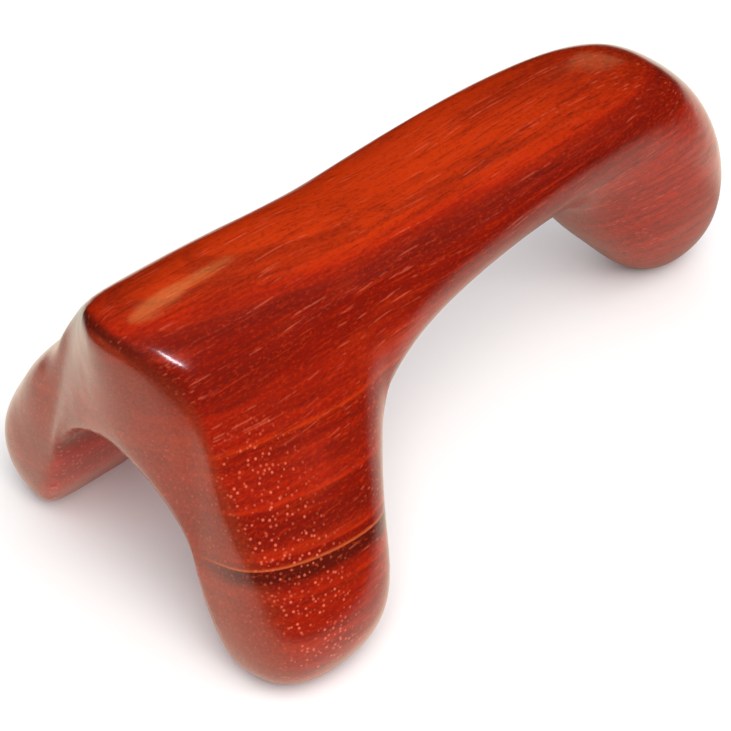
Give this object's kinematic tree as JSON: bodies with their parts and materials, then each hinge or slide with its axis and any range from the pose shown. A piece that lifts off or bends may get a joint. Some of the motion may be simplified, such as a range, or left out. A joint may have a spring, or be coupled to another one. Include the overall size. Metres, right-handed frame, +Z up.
{
  "type": "carved wooden rest",
  "caption": "Lacquered hardwood rest carved from one block: a rounded arm with splayed legs over an arch at one end, its other end curving down into a foot.",
  "frame": {"origin": "on the floor plane that the three feet stand on, under the middle of the length and on the plane of symmetry", "axes": "+X along the arm, from the crossbar's end face to the arm's tip; +Y across the crossbar; +Z up from the soles"},
  "size_m": [0.113, 0.058, 0.0458],
  "materials": {
    "lacquered_hardwood": "reddish-brown open-pored hardwood under a clear gloss lacquer"
  },
  "bodies": {
    "root": {"carved_body": "lacquered_hardwood"}
  },
  "joints": []
}
